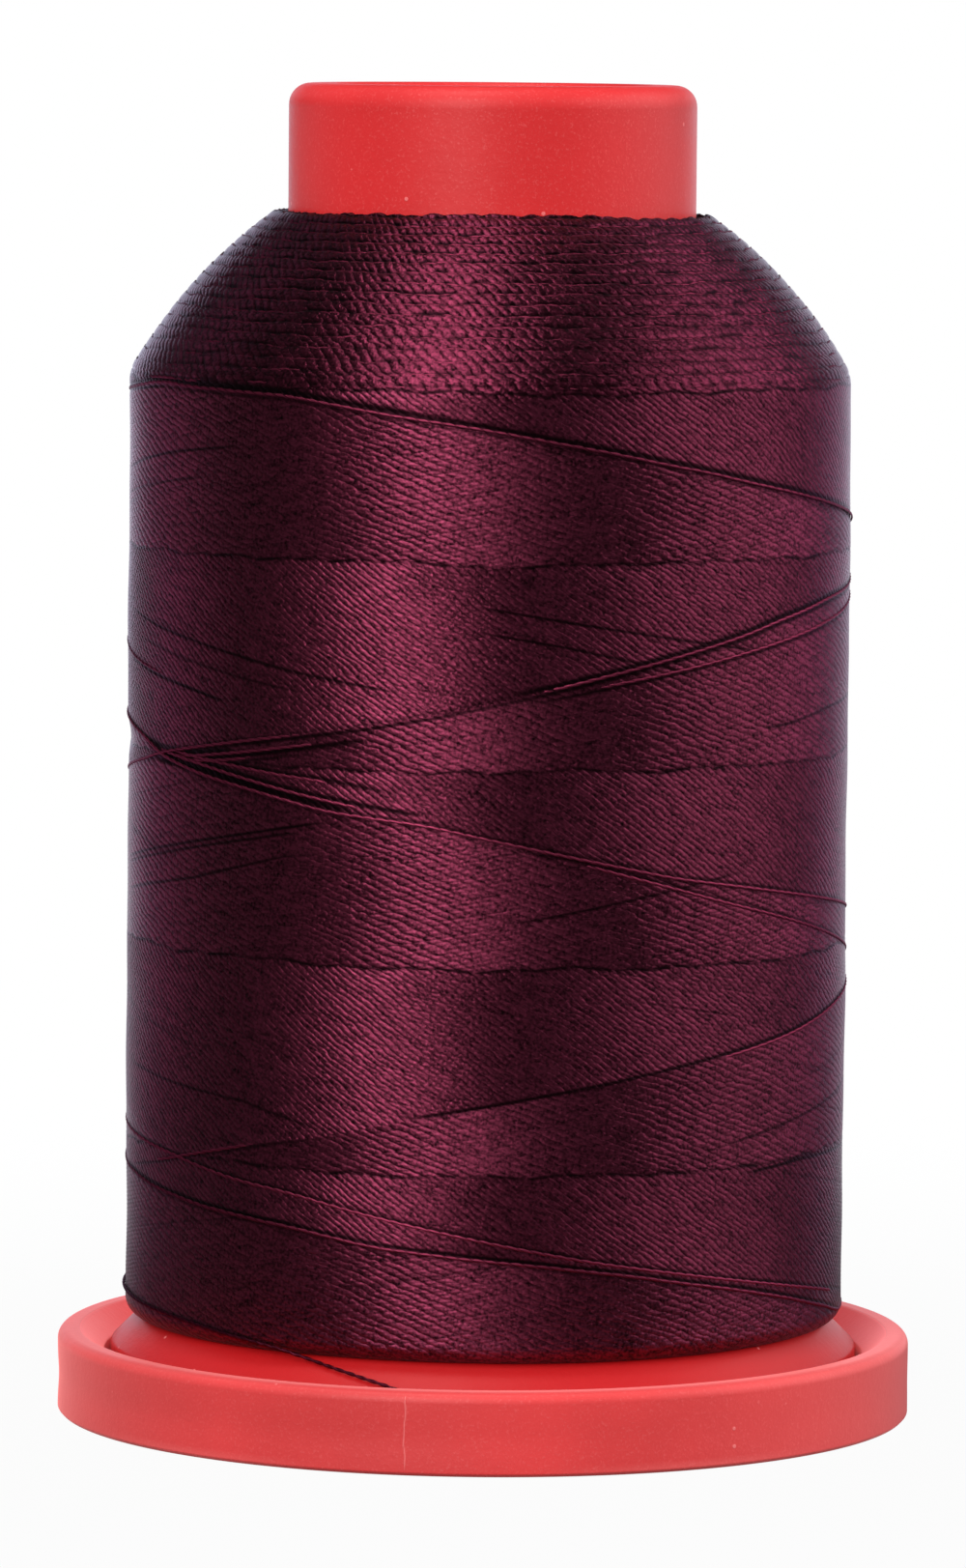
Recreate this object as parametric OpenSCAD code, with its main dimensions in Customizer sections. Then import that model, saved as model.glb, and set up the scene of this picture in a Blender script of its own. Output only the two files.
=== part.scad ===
// Thread spool with a foot that snaps on. The foot pulls off by a few millimetres to open a ring-shaped gap, in
// which the end of the thread is held. Origin: centre of the face it stands on. +Z is up, along the axis.

/* [Foot] */
// Outer diameter of the foot
foot_d = 44; // [42:0.5:56]
// Height of the lip round the foot
foot_h = 4.2; // [3.6:0.1:5]
// Bevel at the bottom edge of the foot
foot_chamfer = 0.5; // [0.2:0.1:0.8]
// Width of the ring that the foot stands on
stand_ring_w = 1.9; // [1:0.1:3]
// Depth of the recess under the foot
foot_recess = 0.7; // [0.3:0.1:1.2]
// Thickness of the foot's floor
floor_t = 1.5; // [1:0.1:1.8]
// Rounding of the outer edge of the lip
lip_round = 0.8; // [0.4:0.1:1]
// Flat crest of the lip
lip_land = 0.3; // [0.1:0.1:0.5]
// Rounding of the inner edge of the lip
lip_inner_round = 0.4; // [0.2:0.1:0.8]
// Height of the step between the floor and the dished inside of the lip
lock_wall_h = 0.9; // [0.5:0.1:1.3]
// Hole in the foot for the spool pin
foot_hole_d = 8.8; // [8.4:0.1:12]

/* [Snap hub] */
// Height of the hub above the floor
hub_h = 9.8; // [8:0.1:16]
// Wall of the hub
hub_wall = 1.2; // [0.8:0.1:1.6]
// Gap between the hub and the inside of the barrel
hub_clearance = 0.2; // [0.1:0.05:0.3]
// How far the snap bead stands out of the hub
bead_reach = 0.45; // [0.35:0.05:0.55]
// Height of the snap bead at its root
bead_h = 1; // [0.8:0.1:1.4]
// Distance from the top of the hub to the snap bead
bead_drop = 1.6; // [1:0.1:2.5]
// Number of slots that divide the hub into spring fingers
slot_count = 4; // [3:1:6]
// Width of each slot
slot_w = 1.6; // [1:0.1:3]
// Height of the solid ring below the slots
slot_base_h = 1.8; // [1:0.1:3]

/* [Core] */
// Overall height of the spool on its foot
overall_h = 68.4; // [60:0.1:90]
// Outer diameter of the barrel and its neck
barrel_d = 20.9; // [19.5:0.1:23]
// Wall of the barrel
barrel_wall = 1.3; // [1.1:0.1:1.5]
// Length of neck that stands out of the thread
neck_h = 6.5; // [4:0.1:10]
// Rounding of the neck's top edge
neck_round = 1.3; // [0.6:0.1:1.8]
// Width of the flat rim round the top, inside the rounding
rim_land = 1.1; // [0.6:0.1:1.6]
// Depth of the recess in the top
top_recess = 1.2; // [0.6:0.1:2]
// Thickness of the disc that closes the top of the barrel
top_disc_t = 1.5; // [1:0.1:2.5]
// Bore for the spool pin
pin_bore_d = 8; // [6:0.1:8.4]
// Bevel at the mouth of the bore
bore_chamfer = 0.5; // [0.2:0.1:0.8]
// Wall of the sleeve round the bore
sleeve_wall = 1; // [0.8:0.1:1.4]
// Number of ribs between sleeve and barrel
rib_count = 4; // [3:1:8]
// Thickness of each rib
rib_t = 1; // [0.8:0.1:1.5]
// Gap between the top of the hub and the lower ends of the ribs
rib_clearance = 1; // [0.5:0.1:3]
// Depth of the groove for the snap bead in the inside of the barrel
groove_depth = 0.45; // [0.4:0.05:0.6]
// How far the foot can be pulled off
snap_travel = 3; // [1.5:0.1:3.4]
// Play of the bead at each end of its travel
snap_play = 0.1; // [0.05:0.05:0.2]

/* [Flange] */
// Outer diameter of the flange
flange_d = 38.5; // [37.5:0.1:39.5]
// Wall of the flange
flange_t = 1.2; // [1:0.1:1.5]
// Height of the straight edge below the flange's bevel
flange_edge_h = 1.35; // [1:0.05:1.8]
// Height and depth of the flange's bevel
flange_bevel = 1.55; // [0.8:0.05:1.8]
// Gap between the flange and the foot, in which the thread end is held
lock_gap = 0.35; // [0.3:0.05:0.6]
// Gap between the sleeve's lower end and the floor
sleeve_lift = 0.2; // [0.1:0.05:0.5]

/* [Thread] */
// Outer diameter of the thread package
package_d = 36.9; // [30:0.1:38]
// Height of the package's shoulder
shoulder_h = 8.2; // [6:0.1:10]
// How far the shoulder bulges out of a straight cone
shoulder_bulge = 0.6; // [0.4:0.05:0.9]
// Flat at the top of the package, round the neck
top_land = 0.5; // [0.3:0.1:1]
// Rounding between the shoulder and the cylinder
shoulder_round = 2; // [1:0.1:3]
// Rounding of the package's lower edge
package_round = 0.8; // [0.4:0.1:1]
// Diameter of the thread
thread_d = 0.2; // [0.15:0.01:0.25]
// Gap between the outer turns and the package under them
turn_seat = 0.03; // [0.02:0.01:0.05]
// Number of spaced turns on the shoulder
shoulder_turns = 14; // [8:1:14]
// Height that each long turn on the body comes down
body_pitch = 13.4; // [10:0.1:13.4]
// Height of the last turn above the package's lower edge, where it becomes the tail
tail_start_h = 1.6; // [1.2:0.1:3]

/* [Hidden] */

round_fn = 96;
eps = 0.02;

foot_r = foot_d / 2;
flange_r = flange_d / 2;
barrel_r = barrel_d / 2;
package_r = package_d / 2;
pin_r = pin_bore_d / 2;
foot_hole_r = foot_hole_d / 2;

// Heights, from the bottom up
floor_z = foot_recess + floor_t;
lock_wall_z = floor_z + lock_wall_h;
flange_edge_z = floor_z + flange_edge_h;
flange_top_z = flange_edge_z + flange_bevel;
flange_under_z = flange_top_z - flange_t;
hub_top_z = floor_z + hub_h;
bead_top_z = hub_top_z - bead_drop;
bead_bottom_z = bead_top_z - bead_h;
rib_z = hub_top_z + rib_clearance;
recess_z = overall_h - top_recess;
disc_under_z = recess_z - top_disc_t;
package_top_z = overall_h - neck_h;
shoulder_z = package_top_z - shoulder_h;

// Radii, from the axis out
sleeve_r = pin_r + sleeve_wall;
barrel_in_r = barrel_r - barrel_wall;
hub_r = barrel_in_r - hub_clearance;
hub_in_r = hub_r - hub_wall;
groove_r = barrel_in_r + groove_depth;
rim_in_r = barrel_r - neck_round - rim_land;
skirt_in_r = flange_r - flange_t;
// A bevelled wall of even thickness is narrower inside by this much, measured along its faces
bevel_shift = flange_t * tan(22.5);
lock_r = flange_r + lock_gap;
top_land_r = barrel_r + top_land;
// The lip's roundings and crest keep their sizes, or shrink alike where the lip is too narrow for them
lip_fit = min(1, (foot_r - lock_r) / (lip_round + lip_land + lip_inner_round));
lip_edge_round = lip_round * lip_fit;
lip_crest_r = foot_r - lip_edge_round - lip_land * lip_fit;
lip_dish_round = lip_inner_round * lip_fit;

// The shoulder is an arc from the top land to the cylinder, with the bulge as its rise over the chord
shoulder_dr = package_r - top_land_r;
shoulder_chord = norm([shoulder_dr, shoulder_h]);
shoulder_r = pow(shoulder_chord / 2, 2) / (2 * shoulder_bulge) + shoulder_bulge / 2;
shoulder_back = shoulder_r - shoulder_bulge;
shoulder_cx = (top_land_r + package_r) / 2 - shoulder_back * shoulder_h / shoulder_chord;
shoulder_cz = (package_top_z + shoulder_z) / 2 - shoulder_back * shoulder_dr / shoulder_chord;
// Centre of the rounding that joins the arc to the cylinder
round_cx = package_r - shoulder_round;
round_cz = shoulder_cz + sqrt(pow(shoulder_r - shoulder_round, 2) - pow(round_cx - shoulder_cx, 2));
round_angle = atan2(round_cz - shoulder_cz, round_cx - shoulder_cx);
top_angle = atan2(package_top_z - shoulder_cz, top_land_r - shoulder_cx);

// Points of an arc in a half section, both ends included
function arc(cx, cz, r, from, to, steps) =
    [for (i = [0:steps]) let (a = from + (to - from) * i / steps) [cx + r * cos(a), cz + r * sin(a)]];

// ---- The strand: a tube swept along points, with mitred rings ----

function unit(v) = v / norm(v);
function point_at(a, r, z) = [r * cos(a), r * sin(a), z];

// Direction of the run that comes into point i, and of the bisector there
function run_in(path, i) = i == 0 ? unit(path[1] - path[0]) : unit(path[i] - path[i - 1]);
function run_out(path, i) = i == len(path) - 1 ? run_in(path, i) : unit(path[i + 1] - path[i]);
function bisector(path, i) = unit(run_in(path, i) + run_out(path, i));

// Ring i: a regular polygon square to the run that comes in, moved along it onto the mitre plane
function ring(path, i, r, sides) =
    let (
        d = run_in(path, i),
        t = bisector(path, i),
        side = unit(cross(d, [0, 0, 1])),
        up = cross(side, d)
    )
    [for (k = [0:sides - 1])
        let (a = 360 * k / sides, p = r * (cos(a) * up + sin(a) * side))
        path[i] + p - d * (p * t) / (d * t)];

module tube(path, d, sides) {
    last = (len(path) - 1) * sides;
    points = [for (i = [0:len(path) - 1]) each ring(path, i, d / 2, sides)];
    walls = [for (i = [0:len(path) - 2], k = [0:sides - 1])
        let (a = i * sides + k, b = i * sides + (k + 1) % sides)
        each [[a, b, a + sides], [b, b + sides, a + sides]]];
    start_cap = [for (k = [1:sides - 2]) [0, k + 1, k]];
    end_cap = [for (k = [1:sides - 2]) [last, last + k, last + k + 1]];
    polyhedron(points = points, faces = concat(walls, start_cap, end_cap), convexity = 20);
}

// ---- Outer turns ----

turn_sides = 6;
turn_rings = 24;
// A ring's distance from the package, and the factor that keeps the straight runs between rings off it
turn_off = thread_d / 2 + turn_seat;
turn_spread = 1 / cos(180 / turn_rings);
// The strand starts at the left edge, this far below the package's top, and its spaced turns run on past the
// shoulder before the long turns begin
turn_first_angle = 180;
turn_top_drop = 0.5;
turn_overrun = 1;
turn_top_z = package_top_z - turn_top_drop;
turn_pitch = (turn_top_z - shoulder_z + turn_overrun) / shoulder_turns;
tail_start_z = flange_top_z + tail_start_h;
body_start_z = turn_top_z - shoulder_turns * turn_pitch;
body_turns = ceil((body_start_z - tail_start_z) / body_pitch);
// The last long turn comes down by what is left of the body
body_last_h = body_start_z - tail_start_z - (body_turns - 1) * body_pitch;
all_turns = shoulder_turns + body_turns;
// Where the outer turns end, as a share of the last turn: behind the left edge
turn_end_share = 22 / 24;

// Height of the strand after u turns
function turn_z(u) =
    u <= shoulder_turns ? turn_top_z - u * turn_pitch :
    u <= all_turns - 1 ? body_start_z - (u - shoulder_turns) * body_pitch :
    let (s = u - all_turns + 1) tail_start_z + body_last_h * pow(1 - s, 1.5);

// Radius of the strand's centre line at a height: it follows the shoulder's arc, then the cylinder
function turn_r(z) =
    let (reach = pow(shoulder_r + turn_off, 2) - pow(max(z - shoulder_cz, 0), 2))
    turn_spread * min(shoulder_cx + sqrt(reach), package_r + turn_off);

ring_total = round((all_turns - 1 + turn_end_share) * turn_rings);
turn_points = [for (i = [0:ring_total])
    let (u = i / turn_rings, z = turn_z(u))
    point_at(turn_first_angle + 360 * u, turn_r(z), z)];

// The first end stands square on the shoulder for one thread diameter
start_tilt = atan2(turn_top_z - shoulder_cz, turn_r(turn_top_z) / turn_spread - shoulder_cx);
function on_shoulder(out) = point_at(
    turn_first_angle,
    shoulder_cx + (shoulder_r + out) * cos(start_tilt),
    shoulder_cz + (shoulder_r + out) * sin(start_tilt)
);
turn_start = [on_shoulder(0), on_shoulder(2 * thread_d)];

// The last end runs level and straight for one thread diameter, to the face where the tail goes on
turn_end = turn_points[ring_total];
turn_end_angle = turn_first_angle + 360 * ring_total / turn_rings;
turn_end_run = thread_d * [-sin(turn_end_angle), cos(turn_end_angle), 0];
join = turn_end + turn_end_run;
strand = concat(turn_start, [for (i = [1:ring_total]) turn_points[i]], [join]);

// Least gap between the strand and itself, from each ring to the rings a turn away
self_gaps = [for (i = [0:ring_total - turn_rings - 1], k = [-1:1])
    norm(turn_points[i] - turn_points[i + turn_rings + k]) - thread_d];
echo(least_gap_between_outer_turns = min(self_gaps));

// ---- Thread tail ----

tail_sides = 8;
// Route: [angle round the axis, radius of the centre line, height]. It goes on from the outer turns' end, lies
// against the package's lower edge, crosses the bevel and ends in the lock gap.
tail_r = package_r + turn_off;
tail_lock_r = flange_r + lock_gap / 2;
bevel_out = turn_off * sqrt(2);
tail_route = [
    [153, tail_r + 0.12, tail_start_z + 0.12],
    [161, tail_r + 0.03, tail_start_z + 0.05],
    [170, tail_r, tail_start_z - 0.05],
    [180, tail_r, tail_start_z - 0.15],
    [195, tail_r, tail_start_z - 0.35],
    [208, tail_r, tail_start_z - 0.5],
    [217, tail_r, tail_start_z - 0.68],
    [226, tail_r, tail_start_z - 0.95],
    [232, tail_r - 0.06, tail_start_z - 1.15],
    [237, tail_r - 0.16, tail_start_z - 1.4],
    [242, flange_r - flange_bevel + bevel_out + 0.35, flange_top_z - 0.2],
    [249, flange_r - flange_bevel + bevel_out + 0.75, flange_top_z - 0.65],
    [256, flange_r - flange_bevel + bevel_out + 1.2, flange_top_z - 1.15],
    [261, tail_lock_r + 0.02, flange_edge_z - 0.1],
    [266, tail_lock_r, flange_edge_z - 0.45],
    [274, tail_lock_r, floor_z + 0.45],
    [286, tail_lock_r, floor_z + 0.3]
];
tail_step = 2;

// A value between the route's points, on a smooth curve through them, at an angle
function hermite(p, m0, m1, q, h, s) =
    (2 * s * s * s - 3 * s * s + 1) * p + (s * s * s - 2 * s * s + s) * h * m0
    + (-2 * s * s * s + 3 * s * s) * q + (s * s * s - s * s) * h * m1;
function slope(i, c) =
    let (a = max(i - 1, 0), b = min(i + 1, len(tail_route) - 1))
    (tail_route[b][c] - tail_route[a][c]) / (tail_route[b][0] - tail_route[a][0]);
function leg(angle, i = 0) =
    i >= len(tail_route) - 2 || angle <= tail_route[i + 1][0] ? i : leg(angle, i + 1);
function tail_value(angle, c) =
    let (
        i = leg(angle),
        h = tail_route[i + 1][0] - tail_route[i][0],
        s = (angle - tail_route[i][0]) / h
    )
    hermite(tail_route[i][c], slope(i, c), slope(i + 1, c), tail_route[i + 1][c], h, s);

tail_first = tail_route[0][0];
tail_last = tail_route[len(tail_route) - 1][0];
tail_count = round((tail_last - tail_first) / tail_step);
tail_points = [for (i = [0:tail_count])
    let (a = tail_first + (tail_last - tail_first) * i / tail_count)
    point_at(a, tail_value(a, 1), tail_value(a, 2))];
// The tail goes on from the outer turns' end face, in the same direction
tail_path = concat([join, join + turn_end_run], tail_points);

// ---- The pieces ----

module snap_foot() {
    color([0.82, 0.13, 0.15])
    difference() {
        rotate_extrude($fn = round_fn)
        polygon(concat(
            [
                [foot_hole_r, foot_recess],
                [foot_r - foot_chamfer - stand_ring_w, foot_recess],
                [foot_r - foot_chamfer - stand_ring_w, 0],
                [foot_r - foot_chamfer, 0],
                [foot_r, foot_chamfer]
            ],
            arc(foot_r - lip_edge_round, foot_h - lip_edge_round, lip_edge_round, 0, 90, 4),
            arc(lip_crest_r, foot_h - lip_dish_round, lip_dish_round, 90, 130, 2),
            [
                [lock_r, lock_wall_z],
                [lock_r, floor_z],
                [hub_r, floor_z],
                [hub_r, bead_bottom_z],
                [hub_r + bead_reach, bead_bottom_z],
                [hub_r + bead_reach, bead_top_z - bead_reach],
                [hub_r, bead_top_z],
                [hub_r, hub_top_z],
                [hub_in_r, hub_top_z],
                [hub_in_r, floor_z],
                [foot_hole_r, floor_z]
            ]
        ));
        for (i = [0:slot_count - 1])
            rotate([0, 0, 360 * (i + 0.5) / slot_count])
            translate([0, -slot_w / 2, floor_z + slot_base_h])
            cube([hub_r + bead_reach + eps, slot_w, hub_h]);
    }
}

module spool_core() {
    groove_bottom_z = bead_bottom_z - snap_travel - snap_play;
    groove_top_z = bead_top_z + snap_play;
    sleeve_z = floor_z + sleeve_lift;
    color([0.82, 0.13, 0.15])
    union() {
        rotate_extrude($fn = round_fn)
        polygon(concat(
            [
                [barrel_in_r, flange_under_z],
                [flange_r - flange_bevel - bevel_shift, flange_under_z],
                [skirt_in_r, flange_edge_z - bevel_shift],
                [skirt_in_r, floor_z],
                [flange_r, floor_z],
                [flange_r, flange_edge_z],
                [flange_r - flange_bevel, flange_top_z],
                [barrel_r, flange_top_z]
            ],
            arc(barrel_r - neck_round, overall_h - neck_round, neck_round, 0, 90, 5),
            [
                [rim_in_r, overall_h],
                [rim_in_r, recess_z],
                [pin_r + bore_chamfer, recess_z],
                [pin_r, recess_z - bore_chamfer],
                [pin_r, sleeve_z],
                [sleeve_r, sleeve_z],
                [sleeve_r, disc_under_z],
                [barrel_in_r, disc_under_z],
                [barrel_in_r, groove_top_z + groove_depth],
                [groove_r, groove_top_z],
                [groove_r, groove_bottom_z],
                [barrel_in_r, groove_bottom_z]
            ]
        ));
        for (i = [0:rib_count - 1])
            rotate([0, 0, 360 * i / rib_count])
            translate([sleeve_r - eps, -rib_t / 2, rib_z])
            cube([barrel_in_r - sleeve_r + 2 * eps, rib_t, disc_under_z - rib_z + eps]);
    }
}

module thread_package() {
    color([0.30, 0.04, 0.13])
    rotate_extrude($fn = round_fn)
    polygon(concat(
        [[barrel_r, flange_top_z]],
        arc(package_r - package_round, flange_top_z + package_round, package_round, -90, 0, 3),
        arc(round_cx, round_cz, shoulder_round, 0, round_angle, 3),
        arc(shoulder_cx, shoulder_cz, shoulder_r, round_angle, top_angle, 8),
        [[barrel_r, package_top_z]]
    ));
}

module outer_turns() {
    color([0.46, 0.08, 0.22])
    tube(strand, thread_d, turn_sides);
}

module thread_tail() {
    color([0.20, 0.02, 0.08])
    tube(tail_path, thread_d, tail_sides);
}

snap_foot();
spool_core();
thread_package();
outer_turns();
thread_tail();
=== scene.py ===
# %% [markdown]
# # A spool of embroidery thread on its foot
#
# This lesson dresses a small spool: a red moulded barrel with a flange, a wider foot that snaps into the
# barrel and can be pulled down a little to lock the thread end, and a wine-red package of shiny two-ply
# thread. The solid model is loaded first as a fixed frame. Nothing in it is moved: each finer piece is built
# where the frame says and stands for the plain solid.

# %% Load the frame
import math
from functools import partialmethod

import bpy
import numpy as np
from mathutils import Matrix, Vector


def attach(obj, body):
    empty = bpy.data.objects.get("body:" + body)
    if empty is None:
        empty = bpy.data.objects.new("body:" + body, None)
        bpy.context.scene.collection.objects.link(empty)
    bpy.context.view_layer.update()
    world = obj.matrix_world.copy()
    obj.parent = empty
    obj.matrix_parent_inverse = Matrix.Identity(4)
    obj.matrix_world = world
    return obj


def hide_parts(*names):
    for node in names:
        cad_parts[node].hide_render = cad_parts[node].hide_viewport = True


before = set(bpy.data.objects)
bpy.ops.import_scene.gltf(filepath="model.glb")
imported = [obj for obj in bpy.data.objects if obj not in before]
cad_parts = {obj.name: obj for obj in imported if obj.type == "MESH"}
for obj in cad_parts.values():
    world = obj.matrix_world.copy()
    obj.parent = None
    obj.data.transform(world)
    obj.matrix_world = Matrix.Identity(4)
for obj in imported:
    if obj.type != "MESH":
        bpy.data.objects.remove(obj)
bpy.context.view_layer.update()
MM = 0.001


def put(name, data):
    """A mesh, lamp or camera as an object of the scene."""
    made = bpy.data.objects.new(name, data)
    bpy.context.scene.collection.objects.link(made)
    return made

# %% [markdown]
# ## The camera
#
# A spool is usually shown from the front and a little above, through a long lens, so that its sides stay
# nearly parallel. The lens is given in picture widths, which is what sets how much the shape tapers.

# %% Place the camera
FOCAL_IN_WIDTHS = 9.238
CAMERA_AT = (0.0, -0.458, 0.07335)
PAN, TILT, ROLL = 0.029, 84.896, 0.476
camera_data = bpy.data.cameras.new("camera")
camera_data.sensor_fit = "HORIZONTAL"
camera_data.sensor_width = 36.0
camera_data.lens = camera_data.sensor_width * FOCAL_IN_WIDTHS
camera_data.clip_start, camera_data.clip_end = 0.02, 20.0
camera = put("camera", camera_data)
bpy.context.scene.camera = camera
camera.matrix_world = (
    Matrix.Translation(CAMERA_AT)
    @ Matrix.Rotation(math.radians(PAN), 4, "Z")
    @ Matrix.Rotation(math.radians(TILT), 4, "X")
    @ Matrix.Rotation(math.radians(ROLL), 4, "Z")
)
print("camera lens", round(camera_data.lens, 1), "mm")

# %% [markdown]
# ## Writing shaders as sums
#
# A finish is a net of nodes. Wiring them one by one hides what is being worked out, so a small class wraps an
# output socket and takes over the signs of arithmetic: `1 - mask * 0.3` adds two Math nodes. Any other node
# comes from `Finish.node`, which takes its type, its sockets and its settings.

# %% A wire and a finish
class Wire:
    """An output socket. Sums on wires add Math nodes to the finish it belongs to."""

    def __init__(self, finish, socket):
        self.finish, self.socket = finish, socket

    def maths(self, operation, *others):
        return self.finish.node("Math", dict(enumerate((self, *others))), operation=operation)

    __add__ = __radd__ = partialmethod(maths, "ADD")
    __mul__ = __rmul__ = partialmethod(maths, "MULTIPLY")
    __sub__ = partialmethod(maths, "SUBTRACT")
    fract = partialmethod(maths, "FRACT")
    floor = partialmethod(maths, "FLOOR")
    root = partialmethod(maths, "SQRT")

    def __rsub__(self, other):
        return self.finish.node("Math", {0: other, 1: self}, operation="SUBTRACT")

    def hump(self):
        """0 at 0 and 1, and 1 half way: the rounded back of one thread or ply."""
        return 4 * self * (1 - self)

    def ease(self, low, high, start=0.0, end=1.0):
        """A smooth step from start to end as the wire goes from low to high."""
        sockets = {0: self, 1: low, 2: high, 3: start, 4: end}
        return self.finish.node("MapRange", sockets, interpolation_type="SMOOTHSTEP")


class Finish:
    """A material, or the world, as a net of nodes."""

    def __init__(self, name=None, tree=None):
        if tree is None:
            self.material = bpy.data.materials.new(name)
            self.material.use_nodes = True
            tree = self.material.node_tree
        self.tree = tree
        self.tree.nodes.clear()

    def node(self, kind, sockets=None, out=0, **settings):
        made = self.tree.nodes.new("ShaderNode" + kind)
        for key, value in settings.items():
            setattr(made, key, value)
        for key, value in (sockets or {}).items():
            if isinstance(value, Wire):
                self.tree.links.new(value.socket, made.inputs[key])
            else:
                made.inputs[key].default_value = value
        return Wire(self, made.outputs[out]) if len(made.outputs) else None

    def split(self, vector):
        """The three parts of a vector, as wires."""
        first = self.node("SeparateXYZ", {0: vector})
        return [Wire(self, s) for s in first.socket.node.outputs]

    def join(self, x, y, z):
        return self.node("CombineXYZ", {0: x, 1: y, 2: z})

    def place(self):
        """Where a point is on its piece, in metres."""
        return self.node("TexCoord", out="Object")

    def thread_place(self):
        """How many plies along its row a point is, and the row with how far across it."""
        return self.split(self.node("UVMap", uv_map="rows"))[:2]

    def mark(self):
        """The mark that the mesh carries at each of its points."""
        return self.node("Attribute", out="Fac", attribute_name="gap")

    def mix(self, factor, a, b):
        """Colour a going over to colour b."""
        return self.node("Mix", {0: factor, 6: a, 7: b}, 2, data_type="RGBA")

    def noise(self, where, scale, detail=2.0):
        return self.node("TexNoise", {"Vector": where, "Scale": scale, "Detail": detail})

    def bump(self, height, distance, strength):
        return self.node("Bump", {"Height": height, "Distance": distance, "Strength": strength})

    def principled(self, sockets):
        self.output(self.node("BsdfPrincipled", sockets))

    def output(self, surface, kind="OutputMaterial"):
        self.node(kind, {"Surface": surface})


WHITE, BLACK = (1.0, 1.0, 1.0, 1.0), (0.0, 0.0, 0.0, 1.0)
print("wires and finishes are ready")

# %% [markdown]
# ## Grids of points
#
# Nearly everything on a spool goes round one axis, so it is built from grids of points: columns go round or
# along, rows go across. Lathe and screw modifiers could make the plain parts, but a grid worked out in
# numbers also carries the relief of every single thread row. Each grid lays its own map for baking, folded
# into strips so that a long thin band fills a square, and a second map that counts threads. A mark on each
# point tells the finish what only the shape knows, such as how deep in a furrow it lies.

# %% The grid builder
PATTERNS = {
    0: [((0, 0), (1, 0), (1, 1), (0, 1))],
    1: [((0, 0), (1, 0), (1, 1)), ((0, 0), (1, 1), (0, 1))],
    -1: [((0, 0), (1, 0), (0, 1)), ((1, 0), (1, 1), (0, 1))],
}
STRIP_END, STRIP_SIDE = 0.004, 0.03


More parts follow.
